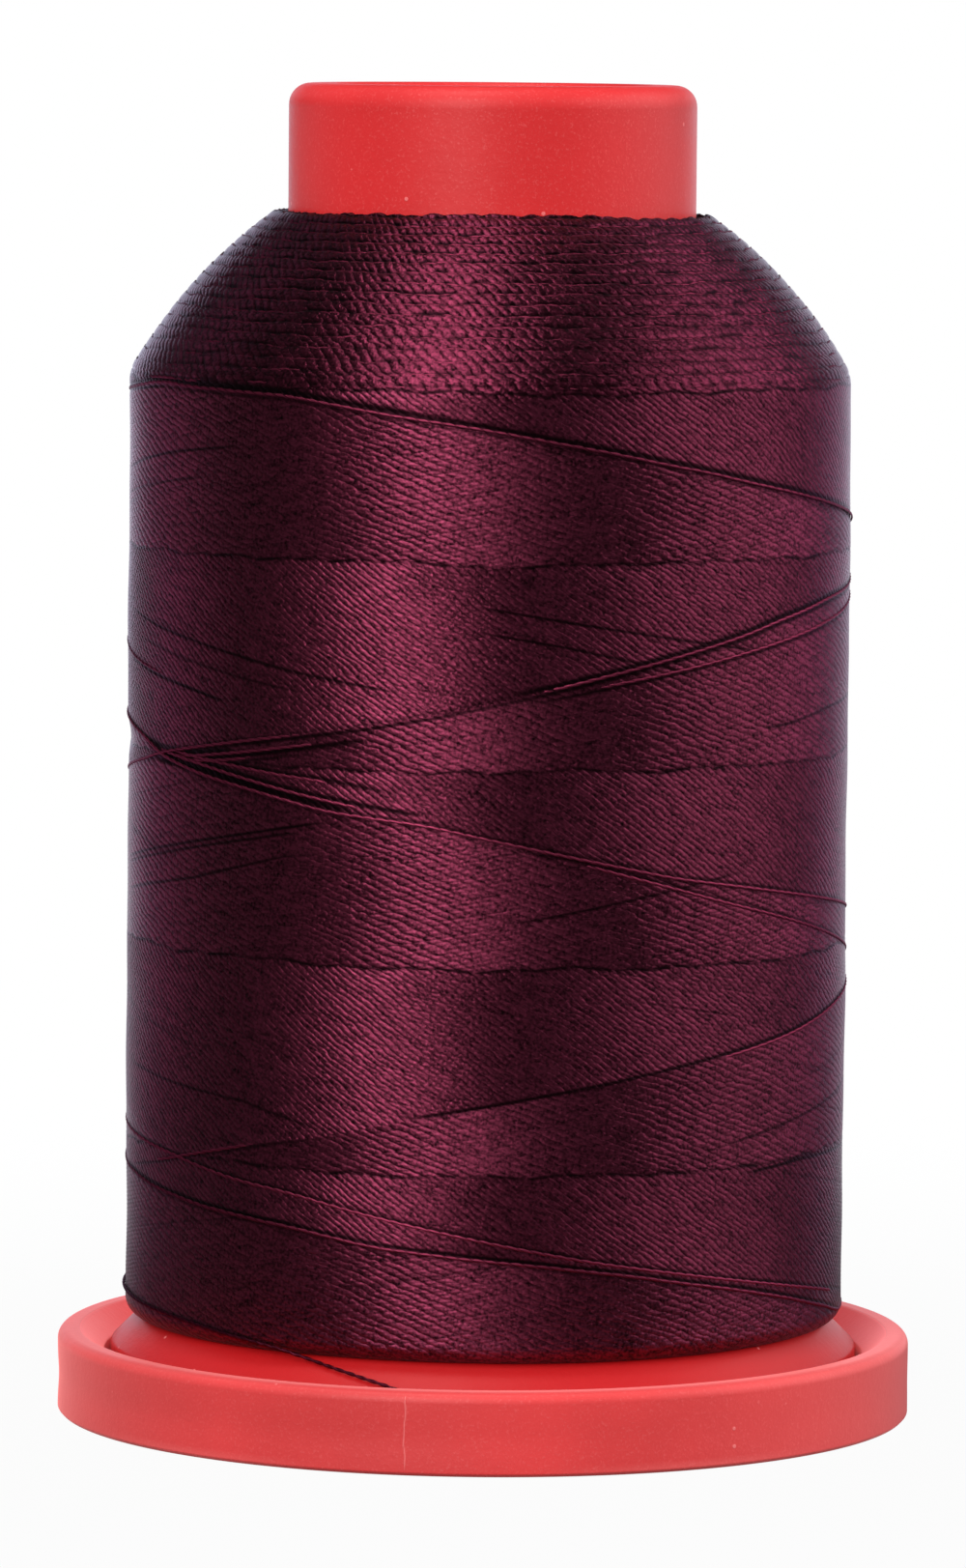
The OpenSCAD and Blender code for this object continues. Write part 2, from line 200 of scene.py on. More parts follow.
class Shape:
    """Grids of points in millimetres, gathered into one mesh."""

    def __init__(self):
        self.points, self.marks, self.corners, self.sizes = [], [], [], []
        self.bake, self.rows, self.kinds = [], [], []
        self.count = 0

    def grid(self, points, around=True, lean=0, folds=1, tile=(0, 0, 1, 1), rows=None, marks=None, kind=None):
        """lean cuts each square along its rising (1) or falling (-1) diagonal, as the threads run. rows holds
        (u per column, u per row, v per column, v per row) of each thread map, and kind says which map and
        finish each square takes."""
        columns, height = points.shape[:2]
        across = columns - (not around)
        i, j = (a.ravel() for a in np.meshgrid(np.arange(across), np.arange(height), indexing="ij"))
        strip_length = math.ceil(across / folds)
        strip = (i // strip_length)[:, None]
        maps = np.array(rows or [(1.0 / columns, 0.0, 0.0, 1.0 / height)])
        kinds = np.zeros(len(i), int) if kind is None else kind[i, j]
        a, b, c, d = maps[kinds].T[..., None]
        for pattern in PATTERNS[lean]:
            ii = i[:, None] + np.array([p[0] for p in pattern])
            jj = j[:, None] + np.array([p[1] for p in pattern])
            self.corners.append((self.count + (ii % columns) * height + jj % height).ravel())
            self.sizes.append(np.full(len(i), len(pattern)))
            self.kinds.append(kinds)
            u = STRIP_END + (1 - 2 * STRIP_END) * (ii - strip * strip_length) / strip_length
            v = (strip + STRIP_SIDE + (1 - 2 * STRIP_SIDE) * jj / height) / folds
            x0, y0, x1, y1 = tile
            self.bake.append(np.stack([x0 + u * (x1 - x0), y0 + v * (y1 - y0)], -1).reshape(-1, 2))
            self.rows.append(np.stack([a * ii + b * jj, c * ii + d * jj], -1).reshape(-1, 2))
        self.points.append(points.reshape(-1, 3))
        self.marks.append(np.zeros(columns * height) if marks is None else marks.ravel())
        self.count += columns * height
        return self

    def cap(self, points, tile, flip=False):
        """One flat face over an outline, such as the cut side of a spring finger."""
        order = np.arange(len(points))[:: -1 if flip else 1]
        self.corners.append(self.count + order)
        self.sizes.append(np.array([len(points)]))
        self.kinds.append(np.array([0]))
        flat = points - points.min(0)
        flat = flat[:, [int(np.argmax(np.ptp(flat[:, :2], 0))), 2]] / max(np.ptp(flat, 0).max(), 1e-6)
        x0, y0, x1, y1 = tile
        spread = flat[order] * (x1 - x0, y1 - y0) + (x0, y0)
        self.bake.append(spread)
        self.rows.append(spread)
        self.points.append(points)
        self.marks.append(np.zeros(len(points)))
        self.count += len(points)

    def mesh(self, name, finish, body, slot, stands_for=(), crease=None):
        mesh = bpy.data.meshes.new(name)
        points, corners = np.concatenate(self.points) * MM, np.concatenate(self.corners)
        sizes = np.concatenate(self.sizes)
        mesh.vertices.add(len(points))
        mesh.vertices.foreach_set("co", points.astype(np.float32).ravel())
        mesh.loops.add(len(corners))
        mesh.loops.foreach_set("vertex_index", corners.astype(np.int32))
        mesh.polygons.add(len(sizes))
        mesh.polygons.foreach_set("loop_start", (np.cumsum(sizes) - sizes).astype(np.int32))
        mesh.update(calc_edges=True)
        for title, values in (("OFBake", self.bake), ("rows", self.rows)):
            layer = mesh.uv_layers.new(name=title)
            layer.uv.foreach_set("vector", np.concatenate(values).astype(np.float32).ravel())
        shade = mesh.attributes.new("gap", "FLOAT", "POINT")
        shade.data.foreach_set("value", np.concatenate(self.marks).astype(np.float32))
        mesh.polygons.foreach_set("use_smooth", np.ones(len(sizes), bool))
        if crease:
            mesh.set_sharp_from_angle(angle=math.radians(crease))
        for one in finish if isinstance(finish, tuple) else (finish,):
            mesh.materials.append(one.material)
        if len(mesh.materials) > 1:
            mesh.polygons.foreach_set("material_index", np.concatenate(self.kinds).astype(np.int32))
        piece = put(name, mesh)
        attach(piece, body)
        if stands_for:
            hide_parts(*stands_for)
        print(f"{name}: {len(points)} points, {len(sizes)} faces, on {body}")

# %% [markdown]
# ## Outlines with real corners
#
# A moulded edge is never knife sharp: the tool leaves a small radius, which catches a thin bright line. So an
# outline is written as its corners, each with its own radius, and the arcs are filled in. Points held close
# beside each arc keep flat walls flat when the mesh is shaded smooth.

# %% Round the corners of an outline
def rounded(corners, turn=10.0, hold=0.03):
    """A closed outline from (r, z, radius) corners, with arcs of steps no larger than turn degrees."""
    outline = []
    n = len(corners)
    for k in range(n):
        before, here, after = (np.array(corners[m % n][:2], float) for m in (k - 1, k, k + 1))
        radius = corners[k][2] if len(corners[k]) > 2 else 0.12
        a, b = before - here, after - here
        la, lb = np.linalg.norm(a), np.linalg.norm(b)
        a, b = a / la, b / lb
        half = math.acos(max(-1.0, min(1.0, float(a @ b)))) / 2
        reach = min(radius / math.tan(half), 0.46 * la, 0.46 * lb)
        radius = reach * math.tan(half)
        centre = here + (a + b) / np.linalg.norm(a + b) * (radius / math.sin(half))
        start, end = here + a * reach, here + b * reach
        steps = max(1, math.ceil(math.degrees(math.pi - 2 * half) / turn))
        t0 = math.atan2(*(start - centre)[::-1])
        sweep = (math.atan2(*(end - centre)[::-1]) - t0 + math.pi) % (2 * math.pi) - math.pi
        if la > 8 * hold:
            outline.append(start + a * hold)
        for m in range(steps + 1):
            t = t0 + sweep * m / steps
            outline.append(centre + radius * np.array([math.cos(t), math.sin(t)]))
        if lb > 8 * hold:
            outline.append(end + b * hold)
    return np.array(outline)


def swung(r, z, angles):
    """Points from their radii, heights and angles in degrees."""
    a = np.radians(angles)
    return np.stack(np.broadcast_arrays(r * np.cos(a), r * np.sin(a), z), -1)


def lathe(outline, angles):
    """An outline of (r, z) points swung to each angle."""
    return swung(*outline.T[:, None], angles[:, None])

# %% [markdown]
# ## Red moulded plastic
#
# Both mouldings are a red polypropylene: the colour goes right through, the skin is satin and slightly
# uneven, and there are a few pale specks of dust. An image of plastic would repeat and can't be lit, so the
# finish is made of noise at several sizes.
#
# The mesh's mark adds what depends on the form. Above 0 it is paler: a painted highlight on the lip's inner
# rim and the foot's low edge, and a paler mould witness line. Down to -1 it is a painted shade, a deeper red,
# on the flange's bevel, in the dish and on the lip's top. From -1 to -2 it is also a painted glow, standing
# in for light that comes through the foot's thin lip. Sheen in its own red makes the foot a bit milky.

# %% The plastic's finish
PALE_RED = (0.82, 0.20, 0.19, 1.0)
PAINTED_SHADE_REDS = (0.72, 0.30, 0.36)
PAINTED_GLOW_THROUGH_LIP = (0.34, 0.018, 0.020, 1.0)
MILKY_RED = (1.0, 0.28, 0.27, 1.0)
SPECKS_PER_METRE = 700.0


def moulded_plastic(name, colour, milky):
    finish = Finish(name)
    place, mark = finish.place(), finish.mark()
    clouds = finish.noise(place, 90.0, 3.0)
    skin = finish.noise(place, 2600.0, 3.0)
    peel = finish.noise(place, 700.0)
    grain = finish.noise(place, 7500.0)
    cells = {"Vector": place, "Scale": SPECKS_PER_METRE}
    middle = finish.node("TexVoronoi", cells, "Distance").ease(0.09, 0.05)
    chosen = finish.split(finish.node("TexVoronoi", cells, "Color"))[0].ease(0.66, 0.68)
    speck = middle * chosen
    cloudy = tuple(c * 0.86 for c in colour)
    deep = tuple(c * k for c, k in zip(colour, PAINTED_SHADE_REDS))
    base = finish.mix(clouds.ease(0.3, 0.7), (*cloudy, 1.0), (*colour, 1.0))
    base = finish.mix(grain.ease(0.52, 0.78, 0.0, 0.18), base, PALE_RED)
    # Below 0 the mark paints shade in a deeper red. Above 0 it paints the highlights and the witness line
    # paler. From -1 to -2 it adds a painted glow.
    base = finish.mix(-1 * mark, base, (*deep, 1.0))
    base = finish.mix(speck * 0.7, base, PALE_RED)
    base = finish.mix(mark, base, PALE_RED)
    height = 0.45 * skin + 0.55 * peel + 0.5 * speck + 0.25 * grain
    finish.principled({
        "Base Color": base, "Roughness": 0.36 + 0.10 * clouds + 0.06 * skin, "IOR": 1.49,
        "Specular IOR Level": 0.28, "Normal": finish.bump(height, 0.000035, 0.75),
        "Emission Color": finish.mix((-1 * mark).ease(1.0, 2.0), BLACK, PAINTED_GLOW_THROUGH_LIP),
        "Emission Strength": 1.0, "Sheen Weight": milky, "Sheen Tint": MILKY_RED,
    })
    return finish


red_foot = moulded_plastic("red_foot_plastic", (0.68, 0.041, 0.041), 1.0)
red_core = moulded_plastic("red_core_plastic", (0.625, 0.020, 0.021), 0.0)
print("plastic nodes:", len(red_foot.tree.nodes))

# %% [markdown]
# ## The foot
#
# The foot is one moulding: a dish with a raised lip, a standing ring below, and a hub that goes up inside the
# barrel. It is swung as one closed outline. Where the halves of the mould met, a slightly wavy witness line
# runs up the wall, so the grid gets narrow columns there. The wall also has a slight waist, where the thick
# ring shrank as it cooled.

# %% Swing the foot
FOOT_R = 22.0
SEAM_ANGLES = (259.95, 79.95)
SEAM_HALF = 0.075
SEAM_OUT, WAIST_IN = 0.03, 0.07
seam_steps = np.array([-0.35, -0.22, -0.13, -0.07, 0.0, 0.07, 0.13, 0.22, 0.35])
even = np.arange(0.0, 360.0, 1.25)
clear = [a for a in even if min(abs((a - s + 180) % 360 - 180) for s in SEAM_ANGLES) > 0.5]
foot_angles = np.sort(np.concatenate([clear] + [s + seam_steps for s in SEAM_ANGLES]))
foot_corners = [
    (FOOT_R, 0.16, 0.12), (FOOT_R, 4.2, 0.8), (20.82, 4.2, 0.4), (19.6, 3.1, 0.15), (19.6, 2.2, 0.12),
    (8.95, 2.2, 0.25), (8.95, 4.0, 0.05), (7.75, 4.0, 0.05), (7.75, 2.2, 0.2), (4.4, 2.2, 0.2),
    (4.4, 0.7, 0.2), (19.6, 0.7, 0.25), (19.6, 0.0, 0.25), (21.84, 0.0, 0.08),
]
foot_outline = rounded(foot_corners)
wall = int(np.argmax(np.abs(np.diff(foot_outline[:, 1]))))
steps_up = np.linspace(0, 1, 11)[1:-1, None] * (foot_outline[wall + 1] - foot_outline[wall])
foot_outline = np.insert(foot_outline, wall + 1, foot_outline[wall] + steps_up, axis=0)
foot_grid = lathe(foot_outline, foot_angles)
radius, height = foot_outline[None, :, 0], foot_outline[None, :, 1]
foot_turn = np.radians(foot_angles[:, None])
line_wave = 0.11 * np.sin(height * 2.2 + 0.6) + 0.05 * np.sin(height * 6.3 + 1)
seam = np.zeros(foot_grid.shape[:2])
for middle in SEAM_ANGLES:
    off = (foot_angles[:, None] - middle + 180) % 360 - 180 - line_wave
    seam = np.maximum(seam, np.exp(-((off / SEAM_HALF) ** 2)))
seam = seam * (radius > 21.2) * (height > 0.35) * (height < 3.95)
waist = np.exp(-(((height - 1.8) / 0.9) ** 2)) * (radius > 21.9) * (0.6 - 0.4 * np.cos(foot_turn))
foot_grid[..., :2] *= (1 + (SEAM_OUT * seam - WAIST_IN * waist) / FOOT_R)[..., None]
# Painted shade: the dish under the flange and the top of the lip get a deeper, darker red.
dish_painted_shade = (height > 2.0) * (height < 3.05) * (radius > 8.9) * (radius < 19.7)
lip_top_painted_shade = (height > 4.1) * (radius > 20.9)
# Painted glow: the lip's inner wall emits a little red light, standing in for light that comes through the
# thin lip.
lip_inside_painted_glow = np.clip((height - 2.6) / 0.6, 0, 1) * (height < 4.19) * (radius > 19.5) * (radius < 20.9)
# Painted highlight: a pale line along the foot's low edge and one along the lip's inner rim.
low_edge_painted_highlight = np.exp(-(((height - 0.3) / 0.14) ** 2)) * (radius > 21.5)
low_edge_painted_highlight = low_edge_painted_highlight * np.clip(0.2 + 0.5 * np.sin(foot_turn * 5 + math.radians(30)), 0, 1)
rim_painted_highlight = np.exp(-(((radius - 20.75) / 0.16) ** 2) - ((height - 4.18) / 0.12) ** 2)
foot_marks = 0.75 * seam + 0.4 * rim_painted_highlight + 0.35 * low_edge_painted_highlight - 0.55 * dish_painted_shade - 0.35 * lip_top_painted_shade - 2 * lip_inside_painted_glow
foot = Shape().grid(foot_grid, tile=(0, 0.25, 1, 1), marks=foot_marks)

# %% [markdown]
# Four spring fingers stand on the hub. Each carries a small bead outside, which clicks into a groove in the
# barrel. They are short runs of the same kind of outline, closed at their cut sides.

# %% Add the spring fingers
finger_corners = [
    (8.95, 3.9, 0.05), (8.95, 9.4, 0.12), (9.4, 9.4, 0.1), (9.4, 9.95, 0.1), (8.95, 10.4, 0.2),
    (8.95, 12.0, 0.3), (7.75, 12.0, 0.3), (7.75, 3.9, 0.05),
]
finger_outline = rounded(finger_corners, turn=15.0)
SLOT_HALF_WIDTH, FINGER_R = 0.8, 8.35
slot_half = math.degrees(math.asin(SLOT_HALF_WIDTH / FINGER_R))
for k in range(4):
    run = np.linspace(-45.0 + slot_half, 45.0 - slot_half, 25) + 90.0 * k
    finger = lathe(finger_outline, run)
    place = 0.24 * k
    foot.grid(finger, around=False, tile=(place, 0.06, place + 0.23, 0.24))
    foot.cap(finger[0], (place, 0.0, place + 0.05, 0.05), flip=True)
    foot.cap(finger[-1], (place + 0.1, 0.0, place + 0.15, 0.05))
foot.mesh("foot_moulding", red_foot, "foot", "foot_plastic", ["snap_foot"], crease=35.0)

# %% [markdown]
# ## The spool's barrel
#
# The barrel, its neck, the sleeve for the spool pin and the bevelled flange are a second moulding, closed all
# round like the real one. The bevel ends in a skirt just inside the foot's lip, and the narrow gap between
# them locks the thread. Four ribs inside join sleeve and barrel.

# %% Swing the barrel and add the ribs
FLANGE_TOP = 5.1
RIB_HALF, RIB_EDGE = 0.5, 0.08
rib = [(4.9, 13.0), (9.2, 13.0), (9.2, 65.8), (4.9, 65.8)]
core_corners = [
    (9.15, 3.9, 0.1), (17.203, 3.9, 0.1), (18.05, 3.053, 0.1), (18.05, 2.2, 0.1), (19.25, 2.2, 0.12),
    (19.25, 3.55, 0.3), (17.7, FLANGE_TOP, 0.25), (10.45, FLANGE_TOP, 0.1), (10.45, 68.4, 1.3),
    (8.05, 68.4, 0.35), (8.05, 67.2, 0.2), (4.5, 67.2, 0.15), (4.0, 66.7, 0.15), (4.0, 2.4, 0.15),
    (5.0, 2.4, 0.15), (5.0, 65.7, 0.2), (9.15, 65.7, 0.2), (9.15, 10.95, 0.1), (9.6, 10.5, 0.1),
    (9.6, 6.3, 0.1), (9.15, 6.3, 0.1),
]
core_outline = rounded(core_corners, turn=9.0)
core_grid = lathe(core_outline, even)
# The flange's bevel takes a mark of -1: a painted shade, a deeper red.
bevel = np.broadcast_to((core_outline[:, 0] > 12.0) * (core_outline[:, 1] > 3.0), core_grid.shape[:2])
core = Shape().grid(core_grid, folds=2, tile=(0, 0.2, 1, 1), marks=-1.0 * bevel)
for k in range(4):
    sides = []
    for across in (-RIB_HALF, RIB_EDGE - RIB_HALF, RIB_HALF - RIB_EDGE, RIB_HALF):
        inset = RIB_EDGE * (abs(across) == RIB_HALF)
        plate = rounded([(r, z + (inset if z < 20 else 0), 0.1) for r, z in rib], turn=30.0)
        c, s = math.cos(math.radians(90.0 * k)), math.sin(math.radians(90.0 * k))
        x, z = plate.T
        sides.append(np.stack([x * c - across * s, x * s + across * c, z], -1))
    place = 0.25 * k
    core.grid(np.array(sides), around=False, tile=(place, 0.07, place + 0.24, 0.19))
    core.cap(sides[0], (place, 0.0, place + 0.1, 0.06), flip=True)
    core.cap(sides[-1], (place + 0.12, 0.0, place + 0.22, 0.06))
core.mesh("spool_moulding", red_core, "spool", "core_plastic", ["spool_core"], crease=35.0)

# %% [markdown]
# ## How the package is wound
#
# The thread is cross-wound: it climbs about a fifth of a turn's height for each turn, and the traverse turns
# back at set heights. What shows are bands of parallel rows that lean in turn one way and the other, with a
# ragged seam where two meet. On the convex shoulder the rows lie level, in groups of three.
#
# One long curve for all the thread would be millions of points and still show gaps. Instead each band is a
# closed shell whose outside carries the round back of every row. The package's outline is walked from its
# lower inner edge: each leg has a length and the degrees that it turns.

# %% Walk the package's outline
BARREL_R = 10.5
BODY_R = 18.45
LEGS = [(7.15, 0.0), (1.2566, 90.0), (47.26, 0.0), (1.0926, 31.3), (10.62, 23.4), (0.3, 35.3), (0.35, 0.0)]
STEP = 0.01
lengths, headings = [], []
heading = 0.0
for leg, turned in LEGS:
    steps = max(1, round(leg / STEP))
    for k in range(steps):
        lengths.append(leg / steps)
        headings.append(math.radians(heading + turned * (k + 0.5) / steps))
    heading += turned
lengths, headings = np.array(lengths), np.array(headings)
walk_s = np.cumsum(lengths) - lengths / 2
walk_r = BARREL_R + np.cumsum(lengths * np.cos(headings))
walk_z = FLANGE_TOP + np.cumsum(lengths * np.sin(headings))
walk_end = float(walk_s[-1])
BODY_FOOT = 5.9
BODY_START = LEGS[0][0] + LEGS[1][0] - BODY_FOOT


def along(z):
    """The distance along the outline of a height on the cylinder."""
    return BODY_START + z


def package(s):
    """(radius, height, outward radius part, outward height part) at a distance along the outline."""
    turned = np.interp(s, walk_s, headings)
    return np.interp(s, walk_s, walk_r), np.interp(s, walk_s, walk_z), np.sin(turned), -np.cos(turned)


def swell(angle, s):
    """The slow unevenness of a soft package, in millimetres, shared by rows and strands."""
    a = np.radians(angle)
    return (
        0.022 * np.sin(2 * a + 0.31 * s + 0.7)
        + 0.016 * np.sin(3 * a - 0.53 * s + 2.1)
        + 0.012 * np.sin(5 * a + 1.1 * s)
    )


print("outline length", round(walk_end, 2), "mm, top at", round(float(walk_z.max()), 2), "mm")

# %% [markdown]
# ## Lines in the winding
#
# Here and there a strand lies across the others, and beside it the rows are pushed apart into a dark furrow.
# The routes are lists of (angle round the axis, height) points: 180 is the left edge, 270 the
# front. A furrow is pressed into the rows, and its mark darkens the finish, since hardly any light gets in.

# %% Routes of strands and furrows
STRANDS = {
    "turn_1": [(182, 52.7), (205.8, 53.4), (237.5, 53.05), (254, 52.25), (268.8, 51.6), (283.8, 50.75),
        (299.8, 49.75), (319.8, 48.5), (357.2, 46.45)],
    "turn_2": [(183, 39.85), (192.2, 39.3), (202.8, 38.85), (215.8, 38.3), (223.5, 37.85), (360, 31.6)],
    "turn_4": [(189.5, 12.95), (217.8, 12.1), (238.5, 11.55), (253.3, 10.8), (278.8, 10), (292.8, 9.4),
        (317, 8), (349.2, 5.75)],
    "low_run": [(150, 37.2), (188.5, 35.9), (200, 35.3), (206.5, 34.6), (219.5, 33.85), (229, 33.4),
        (237.8, 32.9), (243.8, 32.5), (260.5, 31.95), (278.2, 30.75), (300.5, 29.2), (353.2, 26.65),
        (400, 24.2)],
    "low_run_2": [(199, 35.2), (206, 34.8), (212, 34.65), (219.5, 34.35), (229.2, 33.85), (240, 33.25),
        (249.5, 32.75), (259, 32.3)],
    "low_run_3": [(203, 34.95), (212, 34.85), (225.2, 34.5), (236.5, 34.15), (243.2, 34), (255, 33.4)],
    "low_run_4": [(276, 30.6), (284.3, 30.1), (310, 27.85), (350.8, 24.75), (395, 21.6)],
    "high_run": [(165, 32.3), (188.5, 33.6), (200.2, 34.2), (206.5, 34.65), (229, 35.75), (251.2, 36.8),
        (262, 37.45), (270, 38), (278, 38.6), (286, 39.2), (301.2, 40.3), (314, 41.2), (321.5, 41.8),
        (337.2, 42.65), (355.5, 43.15), (395, 45.4)],
    "high_run_2": [(205, 34.5), (216, 34.7), (222.8, 34.95), (229.2, 35.2), (236.5, 35.55), (252, 36.3)],
    "high_run_3": [(206, 34.4), (217, 34.5), (225.2, 34.7), (239.8, 35.4)],
    "high_run_4": [(278, 38.3), (290.2, 39), (304.2, 39.75), (314, 40.3), (321.5, 40.7), (337.2, 41.5),
        (353.5, 42.2), (395, 44.5)],
    "right_run": [(301, 19.65), (310.2, 20.05), (326.5, 20.85), (348.2, 22.1), (357.8, 22.5), (400, 24.7)],
    "short_run": [(195, 13.35), (207.5, 13.95), (222.5, 14.95), (233.5, 15.7), (242, 16.1)],
    "foot_run": [(150, 15.9), (189.5, 14.95), (212, 14.35), (227, 13.65), (238.5, 13.25), (286.8, 10.15),
        (307.8, 9), (355, 6.45)],
}
# Furrows beside a strand: how far above it, depth, half width, darkness, degrees to fade in and out, and
# where it begins and ends if not with the strand.
BESIDE = {
    "turn_1": [(0.17, 0.1, 0.1, 0.95, 6), (-0.17, 0.05, 0.06, 0.5, 6), (0.24, 0.1, 0.12, 1.0, 12, 203, 262)],
    "turn_4": [(0.16, 0.08, 0.07, 0.95, 8), (-0.14, 0.03, 0.05, 0.4, 8)],
    "low_run": [(0.27, 0.17, 0.17, 1.0, 6, 203, 250), (0.14, 0.05, 0.05, 0.65, 8, 186),
        (-0.14, 0.03, 0.05, 0.35, 8, 186)],
    "low_run_2": [(0.17, 0.10, 0.08, 0.95, 6)],
    "low_run_3": [(0.14, 0.07, 0.08, 0.8, 8)],
    "low_run_4": [(0.13, 0.05, 0.06, 0.7, 8)],
    "high_run": [(-0.14, 0.05, 0.06, 0.8, 8, 200, 300), (0.17, 0.06, 0.09, 1.0, 8, 275),
        (0.12, 0.03, 0.04, 0.4, 8, 190, 300), (-0.16, 0.04, 0.08, 0.9, 8, 275),
        (-0.22, 0.14, 0.13, 1.0, 5, 208, 222)],
    "high_run_2": [(0.17, 0.1, 0.1, 1.0, 5, 208, 226), (-0.15, 0.08, 0.08, 0.9, 8)],
    "high_run_3": [(0.13, 0.05, 0.05, 0.7, 8), (-0.13, 0.04, 0.05, 0.6, 8)],
    "high_run_4": [(-0.15, 0.05, 0.06, 0.8, 8)],
    "foot_run": [(0.12, 0.05, 0.06, 0.7, 8, 186)],
    "short_run": [(-0.12, 0.04, 0.05, 0.6, 8)],
}
# Furrows on their own: route, depth, half width, darkness and fade.
FURROWS = [
    ([(180, 52.55), (190, 52.8), (206, 53.2)], 0.06, 0.06, 0.9, 4),
    ([(188, 48.8), (199.5, 49.45), (210.8, 49.95), (225, 50.4)], 0.05, 0.05, 0.8, 8),
    ([(185, 47.4), (204, 48.25), (218, 48.8)], 0.03, 0.05, 0.5, 8),
    ([(193.8, 41.65), (206.2, 41.05), (216, 40.6), (227.2, 40), (237.8, 39.4), (254.2, 38.6)], 0.05, 0.05,
     0.75, 6),
    ([(192.2, 39.15), (202.8, 38.7), (215.8, 38.15), (223.5, 37.7)], 0.06, 0.06, 0.9, 6),
    ([(200.8, 40.3), (227.2, 38.95), (239, 38.4)], 0.03, 0.05, 0.5, 6),
    ([(206, 34.35), (215, 34.15), (224, 34.05)], 0.12, 0.10, 1.0, 5),
    ([(319.8, 36.45), (326.2, 36.6), (337.8, 37.1), (357, 37.45)], 0.05, 0.05, 0.8, 5),
    ([(190.5, 28.95), (226.5, 30.95), (243.2, 31.9)], 0.06, 0.05, 0.85, 8),
    ([(190.5, 28.65), (226.5, 30.65), (238, 31.3)], 0.05, 0.05, 0.7, 8),
    ([(190.5, 27.3), (217.2, 28.6), (238, 30.2)], 0.05, 0.05, 0.7, 8),
    ([(275.5, 27.2), (290.8, 28.1), (311.8, 29.25)], 0.05, 0.05, 0.7, 6),
    ([(259.2, 17.35), (277.2, 18.4), (292.5, 19.25), (310.2, 20.2), (326.5, 21), (348.2, 22.25),
      (357.8, 22.65)], 0.07, 0.06, 0.95, 8),
    ([(313, 15.7), (327.8, 16.45), (346.8, 17.3), (358, 17.7)], 0.04, 0.05, 0.7, 6),
    ([(195.5, 18.45), (229, 17.65), (243.5, 16.55)], 0.04, 0.05, 0.6, 8),
    ([(270, 42.75), (281, 42.15), (302, 41.05), (315, 40.45)], 0.05, 0.05, 0.8, 5),
    ([(270, 41.5), (281, 40.9), (294.5, 39.95), (301, 39.6)], 0.05, 0.05, 0.8, 5),
    ([(316.8, 14.1), (330.2, 14.35), (351.2, 14.2), (362, 14.1)], 0.06, 0.06, 0.9, 5),
]
for name, furrows in BESIDE.items():
    route = np.array(STRANDS[name], float)
    for up, deep, half, dark, fade, *ends in furrows:
        first, last = [*ends, *route[[0, -1], 0][len(ends):]]
        angles = np.arange(first, last + 0.1, 3.0)
        FURROWS.append((list(zip(angles, np.interp(angles, *route.T) + up)), deep, half, dark, fade))
CLIMB_PER_DEGREE = 0.0561
loose = np.random.default_rng(11)
for k in range(46):
    start = float(loose.uniform(90, 430))
    reach = float(loose.uniform(10, 40))
    climb = CLIMB_PER_DEGREE if loose.random() < 0.5 else -CLIMB_PER_DEGREE
    low = float(loose.uniform(7, 52))
    dark = float(loose.uniform(0.2, 0.55)) * (0.6 if 180 < start < 360 else 1.2)
    FURROWS.append(([(start, low), (start + reach, low + climb * reach)], 0.03, 0.045, dark, 9))
print(len(STRANDS), "strand routes,", len(FURROWS), "furrows")

# %% [markdown]
# ## The bands of rows
#
# Every band is a grid with four points for each thread row: trough, flank, back, flank. The relief is shifted
# by one point per column, so the rows climb by the right slope, and each square is cut along the thread.
# Bands overlap a little, and along the seam one dives under the other. Where the last turns lie the other way
# over a band, the same grid takes the opposite shift, cut and finish.

# %% Relief of the rows
COLUMNS = 384
ROW, SHOULDER_ROW = 0.2104, 0.23
PER_ROW = 4
ROWS_IN_GROUP = 3
ROW_RELIEF = np.array([0.056, 0.063, 0.066, 0.063])
COLUMN_ANGLES = 90.0 + 360.0 * np.arange(COLUMNS) / COLUMNS
COLUMN_WIDTH = 2 * math.pi * BODY_R / COLUMNS
BEAD = 0.655
LEAN = math.radians(9.9)
SEAM_HEIGHTS = [14.5, 24.8, 34.65, 44.9, 53.4]
OVERLAP = 0.36
DIVE = 0.20


# The last turns lie over a band above (1) or below (-1) one of these lines, and lean the other way.
FANS = {
    "band_foot": (1, [(90, 10.8), (156, 14.5), (165, 14.5), *STRANDS["turn_4"], (355, 5.3), (450, 10.8)]),
    "band_low": (-1, [(90, 22), (213, 14.5), (222.5, 14.9), (233.5, 15.65), (242, 16.1), (259.2, 17.3),
        (277.2, 18.35), (292.5, 19.2), (310.2, 20.15), (326.5, 20.95), (348.2, 22.2), (400, 24.8),
        (450, 22)]),
    "band_middle": (1, [(90, 28.2), (200, 34.4), *STRANDS["low_run"][3:-1], (390, 24.8), (450, 28.2)]),
    "band_high": (-1, [(90, 41.4), (206, 34.85), *STRANDS["high_run"][4:-1], (388, 44.9), (450, 41.4)]),
    "band_top": (1, [(90, 48.55), (176, 53.4), *STRANDS["turn_1"], (385, 44.9), (450, 48.55)]),
}


def soft_step(x):
    x = np.clip(x, 0.0, 1.0)
    return x * x * (3 - 2 * x)


